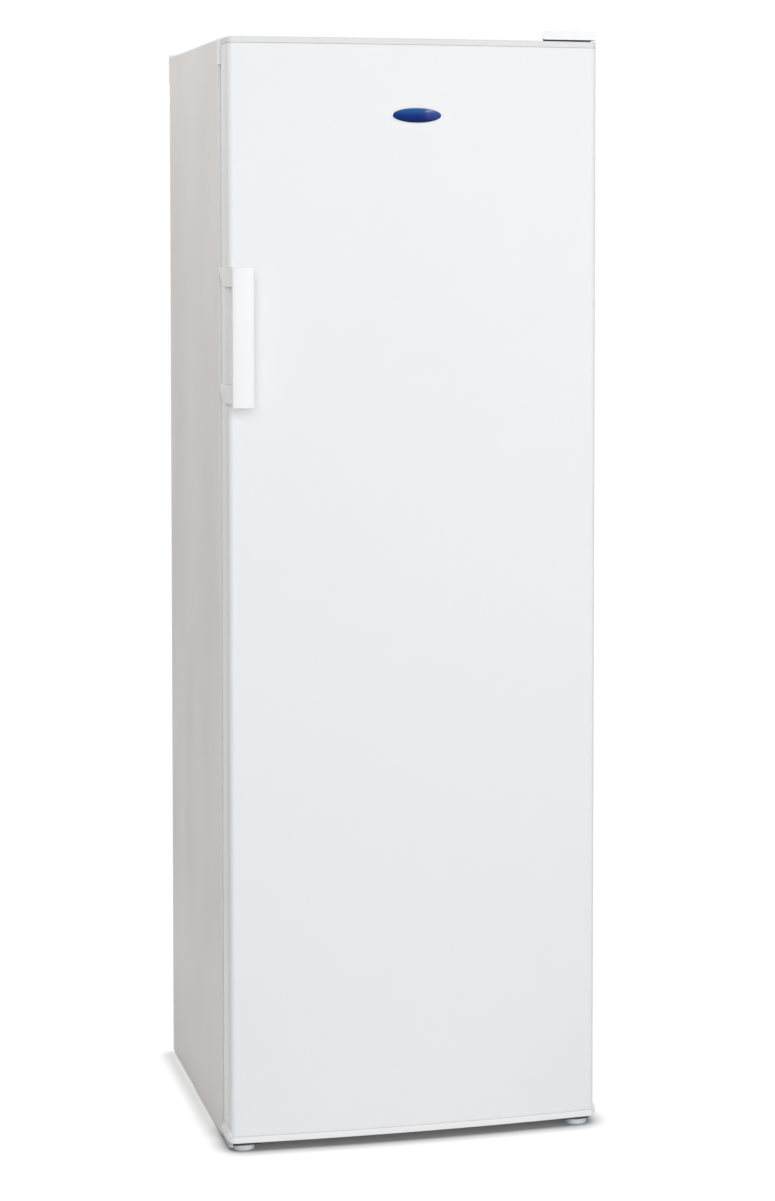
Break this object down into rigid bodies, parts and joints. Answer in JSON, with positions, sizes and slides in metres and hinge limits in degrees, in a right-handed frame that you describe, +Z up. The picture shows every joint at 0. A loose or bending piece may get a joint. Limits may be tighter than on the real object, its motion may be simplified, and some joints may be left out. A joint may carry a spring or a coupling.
{
  "type": "larder refrigerator",
  "caption": "Tall white larder refrigerator with a bowed right-hinged door, vertical handle, glass shelves, door balconies, crisper drawer and rear cooling machine.",
  "frame": {"origin": "on the floor, in the middle of the whole appliance seen from above", "axes": "+X to the right seen from the front, +Y to the back, +Z up"},
  "size_m": [0.601, 0.608, 1.75],
  "materials": {
    "white_paint": "smooth semi-gloss white enamel",
    "white_moulding": "semi-gloss white moulding",
    "white_lining": "smooth white vacuum-formed sheet",
    "galvanised_steel": "dull galvanised sheet",
    "black_paint": "satin black enamel",
    "bright_steel": "zinc plated",
    "black_plastic": "matt black",
    "grey_plastic": "matt light grey",
    "foot_plastic": "matt pale blue grey",
    "insulation": "rigid cream foam",
    "aluminium_sheet": "plain mill sheet",
    "copper": "plain drawn copper",
    "clear_glass": "clear toughened glass",
    "clear_plastic": "clear moulding",
    "gasket_vinyl": "soft white vinyl",
    "black_rubber": "matt black rubber",
    "blue_badge": "blank domed badge"
  },
  "bodies": {
    "cabinet": {"bracket_screws": "bright_steel", "hinge_bracket_top": "black_paint", "hinge_bracket_bottom": "black_paint", "foot_bracket": "black_paint", "hinge_pins": "bright_steel", "hinge_cover": "white_moulding", "cabinet_wrapper": "white_paint", "back_panel": "galvanised_steel", "front_rail": "galvanised_steel", "base_pan": "galvanised_steel", "inner_liner": "white_lining", "drain_tube": "grey_plastic", "evaporator_plate": "aluminium_sheet", "cabinet_foam": "insulation", "corner_cap": "white_moulding", "rear_spacer_left": "grey_plastic", "rear_spacer_right": "grey_plastic", "corner_shoe": "grey_plastic", "compressor_plate": "galvanised_steel", "roller_axles": "bright_steel", "compressor_grommets": "black_rubber", "compressor": "black_paint", "terminal_cover": "black_plastic", "drip_tray": "black_plastic", "condenser_tube": "black_paint", "condenser_wires": "black_paint", "condenser_clips": "black_plastic", "filter_drier": "copper", "refrigerant_tubes": "copper", "cord_gland": "black_rubber", "control_housing": "white_moulding", "lamp_lens": "clear_plastic", "crisper_cover_glass": "clear_glass", "shelf_glass_1": "clear_glass", "shelf_glass_2": "clear_glass", "shelf_glass_3": "clear_glass", "shelf_glass_4": "clear_glass", "shelf_trims": "white_moulding"},
    "door": {"hinge_bushes": "foot_plastic", "door_skin": "white_paint", "door_foam": "insulation", "door_rib_foam": "insulation", "door_liner": "white_lining", "door_cap_top": "white_moulding", "door_cap_bottom": "white_moulding", "door_gasket": "gasket_vinyl", "handle": "white_moulding", "handle_screws": "bright_steel", "badge": "blue_badge", "door_balcony_1": "clear_plastic", "door_balcony_2": "clear_plastic", "door_balcony_3": "clear_plastic", "door_balcony_4": "clear_plastic"},
    "crisper_drawer": {"crisper_drawer": "clear_plastic"},
    "thermostat_knob": {"thermostat_knob": "grey_plastic"},
    "door_switch": {"door_switch_plunger": "white_lining"},
    "foot_left": {"foot_left": "foot_plastic"},
    "foot_right": {"foot_right": "foot_plastic"},
    "roller_left": {"roller_left": "foot_plastic"},
    "roller_right": {"roller_right": "foot_plastic"}
  },
  "joints": [
    {"name": "door_hinge", "type": "hinge", "parent": "cabinet", "child": "door", "pos_m": [0.284, -0.242, 0], "axis": [0, 0, 1], "range_deg": [0, 135]},
    {"name": "crisper_slide", "type": "slide", "parent": "cabinet", "child": "crisper_drawer", "axis": [0, -1, 0], "range_m": [0, 0.205]},
    {"name": "thermostat_turn", "type": "hinge", "parent": "cabinet", "child": "thermostat_knob", "pos_m": [-0.07, -0.184, 1.6625], "axis": [0, 1, 0], "range_deg": [0, 300]},
    {"name": "door_switch_slide", "type": "slide", "parent": "cabinet", "child": "door_switch", "axis": [0, -1, 0], "range_m": [0, 0.0065]},
    {"name": "foot_left_turn", "type": "hinge", "parent": "cabinet", "child": "foot_left", "pos_m": [-0.272, -0.242, 0], "axis": [0, 0, 1], "continuous": true},
    {"name": "foot_right_turn", "type": "hinge", "parent": "cabinet", "child": "foot_right", "pos_m": [0.272, -0.242, 0], "axis": [0, 0, 1], "continuous": true},
    {"name": "roller_left_turn", "type": "hinge", "parent": "cabinet", "child": "roller_left", "pos_m": [-0.2398, 0.266, 0.013], "axis": [1, 0, 0], "continuous": true},
    {"name": "roller_right_turn", "type": "hinge", "parent": "cabinet", "child": "roller_right", "pos_m": [0.2398, 0.266, 0.013], "axis": [1, 0, 0], "continuous": true}
  ],
  "couplings": [
    {"joint": "crisper_slide", "follows": "door_hinge", "m_per_rad": 0.085},
    {"joint": "door_switch_slide", "follows": "door_hinge", "m_per_rad": 0.00255}
  ]
}
